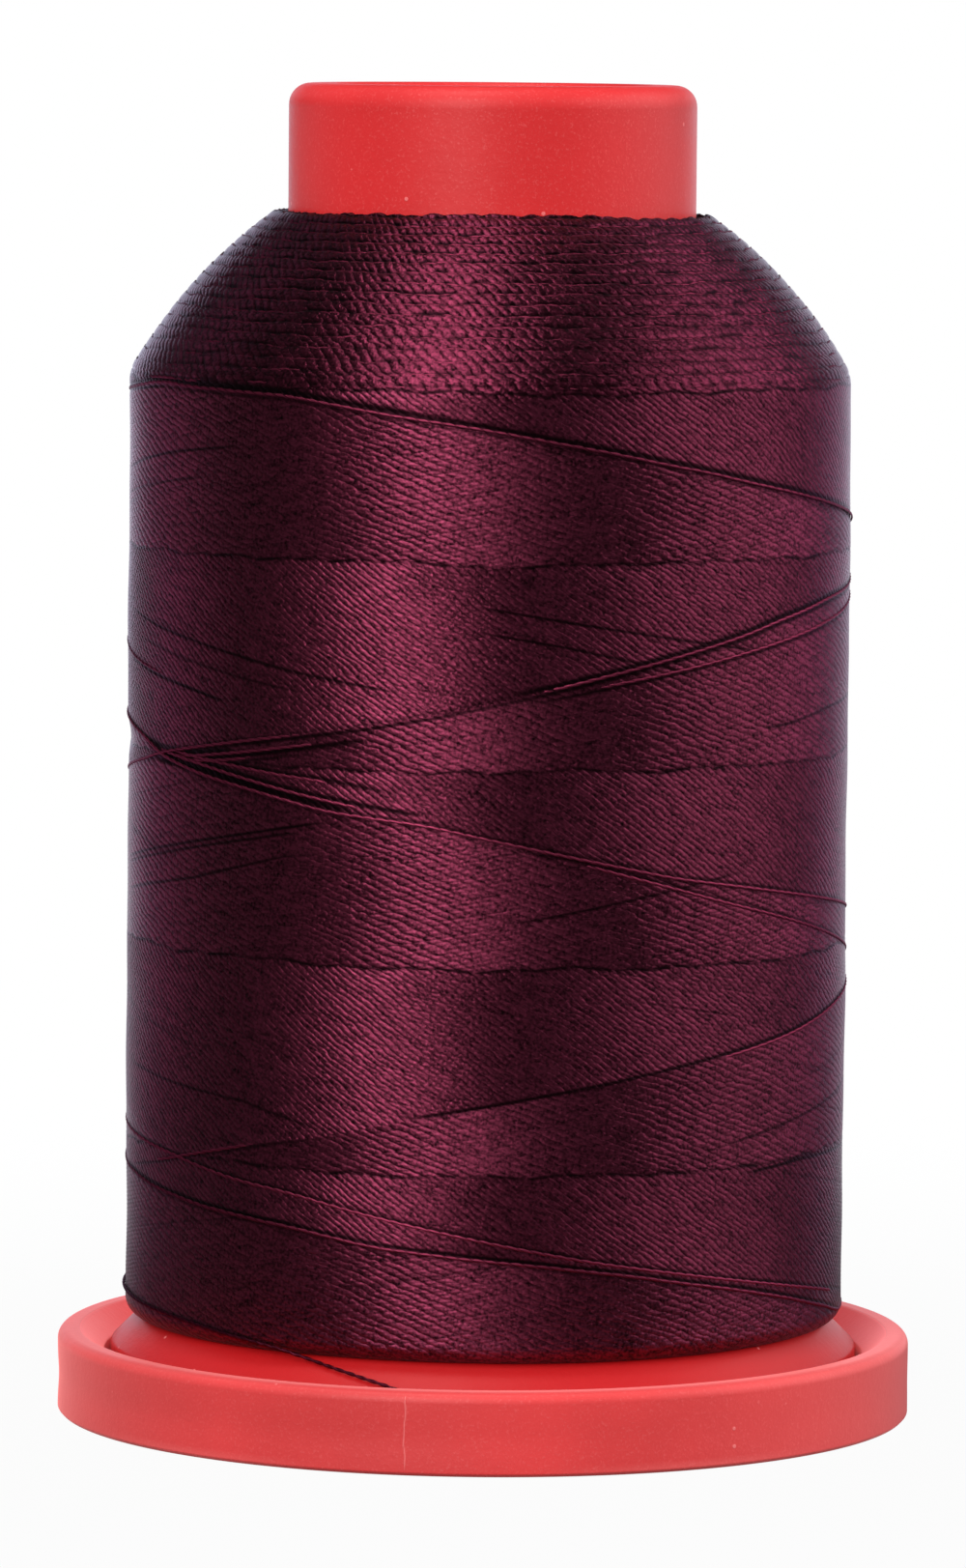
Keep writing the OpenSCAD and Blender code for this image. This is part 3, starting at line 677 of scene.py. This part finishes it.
def ragged_seam(seed):
    """Height offset and darkness round one seam: short runs that lean one way and then the other."""
    rng = np.random.default_rng(seed)
    height, dark = np.zeros(COLUMNS), np.zeros(COLUMNS)
    level, lean, left, strength = 0.0, 1, 0, 0.0
    for i in range(COLUMNS):
        if left <= 0:
            left, lean = int(rng.integers(2, 8)), -lean
            level -= lean * float(rng.uniform(0.02, 0.1))
            strength = float(rng.uniform(0.8, 1.0)) if rng.random() < 0.7 else 0.5
        level += lean * 0.10 * COLUMN_WIDTH - 0.08 * level
        height[i], dark[i] = level, strength * (0.35 if left == 1 else 1.0)
        left -= 1
    return height - height.mean(), dark


SEAMS = [(z, *ragged_seam(20 + k)) for k, z in enumerate(SEAM_HEIGHTS)]
broken_rng = np.random.default_rng(5)
SHOULDER_CLEFTS = np.repeat(broken_rng.random((20, COLUMNS // 2)), 2, axis=1)
SHOULDER_CLEFTS = np.clip(0.5 * (SHOULDER_CLEFTS + np.roll(SHOULDER_CLEFTS, 1, axis=1)) * 2.8 - 0.9, 0.0, 1.0)


def package_top(angle):
    """The height that the topmost rows reach round the neck: lower to the right, and ragged."""
    a = np.radians(angle)
    low = 0.26 * soft_step((np.cos(a) - 0.2) / 0.8) + 0.12 * soft_step(-np.cos(a))
    ragged = 0.02 * np.sin(11 * a + 1) + 0.02 * np.sin(23 * a)
    ragged += 0.03 * np.sin(41 * a + 2) + 0.04 * np.sin(67 * a)
    return 62.0 - low + ragged


def tucked(z, angle):
    """Heights above the topmost rows are folded down a little, so the package dips towards the neck."""
    top = package_top(angle)
    return np.where(z > top, top - 0.6 * (z - top), z)


def furrow_field(z):
    """Depth and darkness of all furrows over a grid of heights (columns, rows)."""
    depth, dark = np.zeros_like(z), np.zeros_like(z)
    for route, deep, half, shade, fade in FURROWS:
        angles, heights = np.array(route, float).T
        for turn in (-360.0, 0.0, 360.0):
            a = COLUMN_ANGLES + turn
            near = (a > angles[0] - fade) & (a < angles[-1] + fade)
            if not near.any():
                continue
            level = np.interp(a, angles, heights)
            there = soft_step((a - angles[0]) / fade + 0.5) * soft_step((angles[-1] - a) / fade + 0.5)
            there = (there * near)[:, None]
            off = (z - level[:, None]) / half
            depth += 0.35 * deep * there * np.exp(-(off**2))
            dark = np.maximum(dark, shade * there * np.exp(-((off / 1.4) ** 2)))
    return depth, dark


def wander(angle, s):
    """How far the rows stray up and down, in millimetres: a little on the body, more on the shoulder."""
    a = np.radians(angle)
    wave = 0.4 * np.sin(7 * a + 1.3 * s) + 0.4 * np.sin(17 * a - 2.1 * s + 1)
    wave = wave + 0.35 * np.sin(31 * a + 3.7 * s + 2) + 0.3 * np.sin(53 * a - 5.3 * s + 3)
    return wave * (0.02 + 0.07 * soft_step((s - along(53.0)) / 2.0)) * soft_step((walk_end - s) / 0.5)


def thread_map(lean, fine, step):
    """The thread map of rows that climb (1), fall (-1) or lie level (0), each step plies behind the last."""
    across = round(2 * math.pi * BODY_R * math.cos(LEAN) / BEAD) / COLUMNS
    along_u = lean * fine * math.sin(LEAN) / BEAD
    return (across - step * lean / PER_ROW, along_u + step / PER_ROW, -lean / PER_ROW, 1 / PER_ROW)


STEPS = {1: 49 / 96, -1: 63 / 96, 0: 36 / 96}


def band(name, low, high, lean, seam_below, seam_above, finish):
    """One band of rows between two distances along the outline."""
    fine = (ROW if lean else SHOULDER_ROW) / PER_ROW
    start, end = low - (OVERLAP if seam_below else 0.0), high + (OVERLAP if seam_above else 0.0)
    s = np.minimum(start + fine * np.arange(int(round((end - start) / fine)) + 1), walk_end)
    i, j = np.meshgrid(np.arange(COLUMNS), np.arange(len(s)), indexing="ij")
    angles = COLUMN_ANGLES[:, None]
    r, z, out_r, out_z = package(np.minimum(s[None, :] + wander(angles, s[None, :]), walk_end))
    side, line = FANS.get(name, (0, [(90, 0), (450, 0)]))
    over = side * (z - np.interp(COLUMN_ANGLES, *np.array(line, float).T)[:, None]) > 0
    relief = ROW_RELIEF[(j - lean * np.where(over, -1, 1) * i) % PER_ROW]
    shade = np.zeros(i.shape)
    if not lean:
        high_up = soft_step((s[None, :] - along(55.0)) / 5.0)
        group = PER_ROW * ROWS_IN_GROUP
        between = np.exp(-((((j + group // 2) % group - group // 2) / 2.0) ** 2))
        level = np.minimum((j + group // 2) // group, len(SHOULDER_CLEFTS) - 1)
        relief = relief - (0.035 + 0.03 * high_up) * between
        shade += (0.55 + 0.45 * high_up) * between * SHOULDER_CLEFTS[level, i]
        # The topmost rows next to the neck get a painted shade.
        shade = np.maximum(shade, 0.22 * soft_step((s - walk_end + 0.7) / 0.5))
    depth, dark = furrow_field(z)
    shade = np.maximum(shade, dark)
    for seam, side in ((seam_below, -1), (seam_above, 1)):
        if seam:
            level = seam[0] + seam[1][:, None]
            line = seam[2][:, None] * np.exp(-(((z - level) / 0.08) ** 2))
            depth += DIVE * soft_step((side * (z - level) - 0.03) / 0.20) + 0.02 * line
            shade = np.maximum(shade, 0.9 * line)
    dent = np.exp(-(((angles - 184) / 7.0) ** 2) - ((z - 34.9) / 0.7) ** 2)
    relief = relief + swell(angles, s[None, :]) - depth - 0.16 * dent
    rr, zz = r + out_r * relief, tucked(z + out_z * relief, angles)
    outside = swung(rr, zz, angles)
    lowest = float(zz[:, 0].min()) if seam_below else FLANGE_TOP - 0.03
    inside = lathe(np.array([(BARREL_R, 0.0), (BARREL_R, lowest + 0.05)]), COLUMN_ANGLES)
    inside[:, 0, 2] = zz[:, -1] - 0.05
    points = np.concatenate([outside, inside], 1)
    # The shell's inner faces, with the ledge from the top row in to the barrel, take a mark of 0.5: a painted
    # shade.
    marks = np.concatenate([shade, np.full((COLUMNS, 2), 0.5)], 1)
    kind = np.pad(over, ((0, 0), (0, 2))).astype(int)
    rows = [thread_map(m, fine, STEPS[m]) for m in (lean, -lean)]
    shape = Shape().grid(points, lean=lean or 1, folds=3, rows=rows, marks=marks, kind=kind)
    shape.mesh(name, finish, "spool", "wound_thread", ["thread_package"])

# %% [markdown]
# ## The thread's finish
#
# Embroidery thread is two bright plies twisted together. Each ply is a bundle of smooth parallel filaments,
# so it shines like brushed metal: a coloured glint, drawn out across the filaments, and nearly black beside
# it. The shader is therefore metallic and anisotropic, turned to the way the rows lean, and rows that lean
# two ways need two finishes. The short slanted strokes are the backs of the plies. The thread map gives them,
# the shade between two plies, and small differences from row to row. On the shoulder the rows are looser, so
# their plies show as beads.

# %% Thread finish
EDGE_GLINT = (0.56, 0.475, 0.55, 1.0)
CLEFT = (0.010, 0.0018, 0.0038, 1.0)
WINE = (0.197, 0.0275, 0.062, 1.0)
BEAD_WINE = (0.172, 0.0220, 0.0520, 1.0)
GRAIN_TURN = {1: 0.303, -1: 0.213, 0: 0.25}
BUMP_HEIGHT = {1: 0.000036, -1: 0.000043, 0: 0.000043}


def thread_finish(name, lean, shine, deepest=0.60, drifting=1.4, broken=0.20):
    """deepest is the light left between two plies. drifting and broken shift the plies from place to place
    and from row to row, so that they don't line up like print."""
    finish = Finish(name)
    u, v = finish.thread_place()
    place = finish.place()
    x, y, z = finish.split(place)
    row = v.floor()
    chance = finish.node("TexWhiteNoise", {"W": row}, "Value", noise_dimensions="1D")
    drift = finish.noise(finish.join(x, y, 3.0 * z), 240.0, 1.0)
    fine = finish.noise(place, 1900.0, 1.0)
    grain = finish.noise(place, 6500.0, 1.0)
    phase = u + broken * chance + drifting * drift + 0.5 * fine
    ply = {"Vector": finish.join(phase.floor(), row, 0.0)}
    own = finish.node("TexWhiteNoise", ply, "Value", noise_dimensions="2D")
    stroke, back = phase.fract().hump(), (v - row).hump()
    mark = finish.mark()
    tone = 0.44 + 0.10 * chance + 0.42 * own + 2.1 * (grain - 0.5)
    # lit paints shade: darker between the plies and along the edges of each row. The mark, down to CLEFT,
    # paints the shade of furrows, seams and clefts.
    lit = stroke.ease(-0.1, 0.9, deepest, 1.0) * back.ease(0.0, 0.5, 0.88, 1.0)
    filaments = finish.noise(finish.join(phase * 3.0, v * 6.0, row), 3.0)
    height = 0.70 * stroke + 0.12 * filaments + 0.5 * grain
    finish.principled({
        "Base Color": finish.mix(lit * tone * (1 - mark) * (1 - mark), CLEFT, shine),
        "Roughness": 0.29 + 0.06 * (1 - stroke) + 0.05 * mark, "Metallic": 0.95,
        "Normal": finish.bump(height, BUMP_HEIGHT[lean], 0.8), "Specular Tint": EDGE_GLINT,
        "Sheen Weight": 0.02, "Anisotropic": 0.88, "Anisotropic Rotation": GRAIN_TURN[lean],
    })
    return finish


rising_thread = thread_finish("rising_thread", 1, WINE)
falling_thread = thread_finish("falling_thread", -1, WINE)
beaded_thread = thread_finish("beaded_thread", 0, BEAD_WINE, 0.32, 1.0, 0.35)
print("thread nodes:", len(rising_thread.tree.nodes))

# %% Build the bands
BOTTOM = 6.95
ENDS = [BOTTOM] + [along(z) for z in SEAM_HEIGHTS] + [walk_end]
LEANS = {"band_foot": 1, "band_low": -1, "band_middle": 1, "band_high": -1, "band_top": 1, "shoulder_rows": 0}
FINISHES = {1: (rising_thread, falling_thread), -1: (falling_thread, rising_thread), 0: beaded_thread}
for k, (name, lean) in enumerate(LEANS.items()):
    below, above = [None, *SEAMS, None][k : k + 2]
    band(name, ENDS[k], ENDS[k + 1], lean, below, above, FINISHES[lean])

# %% [markdown]
# ## Single strands
#
# The last turns are one unbroken strand on top of the rows: it goes round the shoulder level by level, then
# down the body in a few long turns, and ends where the tail begins. Each strand is a real two-ply tube: its
# section is two overlapping circles that turn as they go.

# %% The two-ply tube
PLY_R, PLY_OFF = 0.06, 0.04
TWIST_PITCH = 2 * BEAD
SIDES = 8


def on_package(angles, s, lift):
    """Points in millimetres on the package's surface, lifted off it along its normal."""
    r, z, out_r, out_z = package(s)
    height = lift + swell(angles, s)
    return swung(r + out_r * height, z + out_z * height, angles)


def walked(path):
    """How far along a path each of its points is."""
    return np.concatenate([[0.0], np.cumsum(np.linalg.norm(np.diff(path, axis=0), axis=1))])


def spaced(points, step=0.2):
    """The same path with a point every step millimetres."""
    reach = walked(points)
    even = np.linspace(0.0, reach[-1], max(8, int(round(reach[-1] / step)) + 1))
    return np.stack([np.interp(even, reach, points[:, k]) for k in range(3)], -1)


def strand(shape, path, tile=(0, 0, 1, 1), folds=1, flat=1.0):
    """A two-ply tube along a path, with its ends drawn to a point. flat presses it against the package."""
    forward = np.gradient(path, axis=0)
    forward /= np.linalg.norm(forward, axis=1)[:, None]
    out = path * (1.0, 1.0, 0.0)
    out -= forward * (out * forward).sum(1)[:, None]
    out /= np.linalg.norm(out, axis=1)[:, None]
    side = np.cross(forward, out)
    turn = 2 * math.pi * np.arange(SIDES) / SIDES
    ply = turn[None, :] - (2 * math.pi * walked(path) / TWIST_PITCH)[:, None]
    section = PLY_OFF * np.abs(np.cos(ply)) + np.sqrt(PLY_R**2 - (PLY_OFF * np.sin(ply)) ** 2)
    section[[0, -1]] *= 0.1
    ring = flat * out[:, None] * np.cos(turn)[None, :, None] + side[:, None] * np.sin(turn)[None, :, None]
    points = path[:, None] + section[..., None] * ring
    return shape.grid(points, around=False, tile=tile, folds=folds, rows=[(0.2 / BEAD, 0, 0, 1 / SIDES)])

# %% [markdown]
# The strands share the thread's colours. Their plies are real geometry; the finish adds the filaments and a
# painted shade in the cleft between the two plies. The tail lies in the shade of the package, so its colour
# is painted a darker red.

# %% Strand finish
STRAND_CLEFT = (0.008, 0.0012, 0.0026, 1.0)


def strand_finish(name, shine, deepest):
    finish = Finish(name)
    place = finish.place()
    fine = finish.noise(place, 2600.0)
    slow = finish.noise(place, 300.0, 1.0)
    u, v = finish.thread_place()
    filaments = finish.noise(finish.join(u * 0.6, (v - 0.5 * u) * 9.0, 0.0), 2.5)
    cleft = (2 * v - u + 0.5).fract().hump().root()
    level = (0.72 + 0.3 * fine + 0.25 * (slow - 0.5)) * cleft.ease(0.15, 0.85, deepest, 1.0)
    finish.principled({
        "Base Color": finish.mix(level, STRAND_CLEFT, shine), "Roughness": 0.36 + 0.1 * fine,
        "Metallic": 0.95, "Normal": finish.bump(filaments, 0.00002, 0.5), "Specular Tint": EDGE_GLINT,
    })
    return finish


loose_thread = strand_finish("loose_thread", (0.22, 0.028, 0.064, 1.0), 0.08)
# The crossing strands stand proud and catch the light, so their colour is painted lighter: a painted
# highlight.
lit_crossing_thread = strand_finish("lit_crossing_thread", (0.28, 0.036, 0.082, 1.0), 0.25)
tail_thread = strand_finish("tail_thread", (0.10, 0.012, 0.028, 1.0), 0.15)

# %% Lay the unbroken outer strand
GROUP = ROWS_IN_GROUP * SHOULDER_ROW
SUNK = -0.012
LOOPS = 16
FIRST_LIFTS = [0.05, 0.05, 0.07, 0.07, 0.08, 0.08, 0.09, 0.10, 0.14]
first_s = along(SEAM_HEIGHTS[-1]) - OVERLAP + GROUP * (LOOPS - 1) + 0.575
knots = [(118.0, first_s, -0.25), (124.0, first_s, SUNK)]
for k in range(LOOPS):
    knots += [(360.0 * k + a, first_s - GROUP * k, SUNK) for a in (128, 425)]
# The long turns down the body, as (angle, height, how far it lies above the rows' middle).
LONG_TURNS = [
    [(120, 53.0, 0.06), (150, 52.75, 0.08)] + [(*p, lift) for p, lift in zip(STRANDS["turn_1"], FIRST_LIFTS)],
    [(60, 43.0, 0.12), (120, 41.2, 0.09)]
    + [(a, z, 0.06 if a < 215 else -0.05) for a, z in STRANDS["turn_2"]],
    [(40, 30.0, 0.09), (150, 25.9, 0.08), (190, 24.6, -0.04), (340, 19.4, -0.04)],
    [(20, 18.0, 0.09), (150, 14.1, 0.09)] + [(a, z, 0.07) for a, z in STRANDS["turn_4"]],
    [(10, 5.95, 0.07), (80, 6.45, 0.1), (150, 6.85, 0.16)],
]
for k, points in enumerate(LONG_TURNS):
    knots += [(360.0 * (LOOPS + k) + a, along(z), lift) for a, z, lift in points]
knots = np.array(knots)
dense = np.arange(knots[0, 0], knots[-1, 0], 0.5)
WINDOW = 15


def smoothed(values):
    """A running mean, so that a route bends softly at its points."""
    return np.convolve(np.pad(values, WINDOW // 2, mode="edge"), np.ones(WINDOW) / WINDOW, "valid")


s_way, lift_way = (smoothed(np.interp(dense, knots[:, 0], knots[:, k])) for k in (1, 2))
on_shoulder = soft_step((s_way - along(53.3)) / 0.3)
a = np.radians(dense)
lift_way += on_shoulder * 0.014 * (np.sin(13.1 * a + 2) + np.sin(29.3 * a) + 0.8 * np.sin(47.7 * a + 1))
outer_path = on_package(dense, s_way + wander(dense, s_way), lift_way)
outer_path[:, 2] = np.minimum(tucked(outer_path[:, 2], dense), package_top(dense) - 0.02)
outer = strand(Shape(), spaced(outer_path), folds=60, flat=0.5)
outer.mesh("outer_strand", loose_thread, "spool", "loose_thread", ["outer_turns"])
print("outer strand:", round((dense[-1] - dense[0]) / 360, 1), "turns")

# %% [markdown]
# The crossing strands are turns of the same thread that later turns have partly buried. So each one dives
# under the rows at both of its ends, and two of them also sink level with the rows in front, where others
# press on them.

# %% Lay the crossing strands
crossing = Shape()
LIFT, LIFTS = 0.06, {"low_run": 0.07, "low_run_3": 0.05, "short_run": 0.04, "foot_run": 0.04}
PRESSED = {"high_run": 0.075, "low_run": 0.03}
PRESSED_FROM, PRESSED_TO = 232, 286
BURIED, DIVE_DEGREES = 0.25, 14.0
for k, name in enumerate(name for name in STRANDS if "run" in name):
    angles, heights = np.array(STRANDS[name], float).T
    dense = np.arange(angles[0], angles[-1], 0.5)
    level = smoothed(np.interp(dense, angles, heights))
    edge = np.minimum(dense - dense[0], dense[-1] - dense)
    pressed = PRESSED.get(name, 0.0) * soft_step((dense - PRESSED_FROM) * (PRESSED_TO - dense) / 500.0)
    height = LIFTS.get(name, LIFT) - BURIED * (1 - soft_step(edge / DIVE_DEGREES)) - pressed
    path = spaced(on_package(dense, along(level), height))
    strand(crossing, path, tile=(0, 0.1 * k, 1, 0.1 * k + 0.095), folds=3, flat=0.7)
crossing.mesh("crossing_strands", lit_crossing_thread, "spool", "loose_thread")

# %% [markdown]
# ## The tail
#
# The strand's end comes off the package's lower edge, runs down over the flange's bevel and is caught in
# the gap between flange and foot. Held at both ends, it is part of the spool's own body.

# %% Lay the tail
TAIL = np.array([
    (150, 18.62, 6.85), (153, 18.64, 6.82), (161, 18.61, 6.75), (170, 18.58, 6.65), (180, 18.60, 6.55),
    (195, 18.58, 6.35), (208, 18.58, 6.20), (217, 18.58, 6.02), (226, 18.58, 5.75), (232, 18.52, 5.55),
    (237, 18.42, 5.30), (242, 18.234, 4.90), (249, 18.634, 4.45), (256, 19.084, 3.95), (261, 19.445, 3.45),
    (266, 19.425, 3.10), (274, 19.425, 2.65), (286, 19.425, 2.50),
])
fine_angles = np.arange(TAIL[0, 0], TAIL[-1, 0], 0.25)
tail_r, tail_z = (smoothed(np.interp(fine_angles, TAIL[:, 0], TAIL[:, k])) for k in (1, 2))
tail = strand(Shape(), spaced(swung(tail_r, tail_z, fine_angles), 0.15), folds=3)
tail.mesh("tail_strand", tail_thread, "spool", "loose_thread", ["thread_tail"])

# %% [markdown]
# ## The stage
#
# A pale floor and a bright surround keep the background plain. The camera sees them white, while the object
# is lit only by its lamps, so the floor adds no glare and still shows a soft shadow. For bounced light the
# floor is dark in front and paler behind: the thread mirrors it, and stays deep wine-red except near its
# outer edges.

# %% Floor and surround
FLOOR_RADIUS, FLOOR_Z = 3.0, -0.00005
floor_mesh = bpy.data.meshes.new("floor")
turns = np.radians(np.arange(0, 360, 5.0))
ring = [(FLOOR_RADIUS * math.cos(t), FLOOR_RADIUS * math.sin(t), FLOOR_Z) for t in turns]
floor_mesh.from_pydata(ring, [], [list(range(len(ring)))])
floor = put("floor", floor_mesh)
floor_finish = Finish("pale_floor")
ray = floor_finish.node("LightPath", out="Is Camera Ray")
spot = floor_finish.place()
away = floor_finish.node("VectorMath", {0: spot}, "Value", operation="LENGTH")
seen = ray * away.ease(0.02, 0.20, 0.965, 1.0)
depth = floor_finish.split(spot)[1].ease(0.01, 0.15)
shade = floor_finish.mix(depth, (0.10, 0.097, 0.097, 1.0), (0.75, 0.76, 0.78, 1.0))
matt = floor_finish.node("BsdfDiffuse", {"Color": shade})
white = floor_finish.node("Emission", {"Color": WHITE, "Strength": 1.0})
floor_finish.output(floor_finish.node("MixShader", {0: seen, 1: matt, 2: white}))
floor_mesh.materials.append(floor_finish.material)

world = bpy.data.worlds.new("surround")
bpy.context.scene.world = world
world.use_nodes = True
surround = Finish(tree=world.node_tree)
sight = surround.node("LightPath", out="Is Camera Ray")
ambient = surround.node("LightPath", out="Is Diffuse Ray")
dim = surround.node("Background", {"Color": (0.9, 0.93, 1.0, 1.0), "Strength": 0.03 + 0.78 * ambient})
bright = surround.node("Background", {"Color": WHITE, "Strength": 1.0})
surround.output(surround.node("MixShader", {0: sight, 1: dim, 2: bright}), "OutputWorld")
print("floor radius", FLOOR_RADIUS, "m, surround set")

# %% [markdown]
# ## The lamps
#
# Shiny thread shows its lamps as upright bands. A tall softbox to the left makes the bright band, and a weak
# one beside it softens that band's edge. A wide one far round to the right gives the dimmer band. One from
# above lights the shoulder and the rims, two high behind keep the shoulder's sides from going black, and two
# low ones graze both edges. Angles go round the spool from the camera, positive to the right.

# %% Softboxes
LAMP_DISTANCE = 0.7
AIM = Vector((0.0, 0.0, 0.036))
WARM = (1.0, 0.985, 0.97)


def softbox(name, angle, up, width, height, level, tint=WARM):
    """A rectangular lamp. level is the brightness of its face, where 1 is white paper in full light."""
    data = bpy.data.lights.new(name, "AREA")
    data.shape = "RECTANGLE"
    data.size, data.size_y = width, height
    data.energy = level * math.pi * width * height
    data.color = tint
    lamp = put(name, data)
    a, e = math.radians(angle), math.radians(up)
    away = Vector((math.sin(a) * math.cos(e), -math.cos(a) * math.cos(e), math.sin(e)))
    lamp.location = AIM + LAMP_DISTANCE * away
    lamp.rotation_mode = "QUATERNION"
    lamp.rotation_quaternion = (lamp.location - AIM).to_track_quat("Z", "Y")
    lamp.visible_camera = False


softbox("key_softbox", -19.8, 28, 0.34, 0.72, 5.2)
softbox("side_softbox", -46, 22, 0.28, 0.60, 0.30)
softbox("top_softbox", -60, 80, 0.28, 0.30, 5.5)
softbox("right_softbox", 90, 26, 0.86, 0.64, 2.0, (0.98, 0.99, 1.0))
softbox("high_left_panel", -130, 34, 0.30, 0.30, 0.38, (0.80, 0.86, 1.0))
softbox("high_right_panel", 138, 34, 0.30, 0.30, 0.50, (0.86, 0.92, 1.0))
softbox("back_left_panel", -170, 3, 0.42, 0.34, 1.6, (0.76, 0.84, 1.0))
softbox("back_right_panel", 159, 3, 0.36, 0.34, 1.35, (0.82, 0.9, 1.0))
print("8 lamps, all out of the camera's sight")
bpy.context.scene.view_settings.view_transform = "Standard"
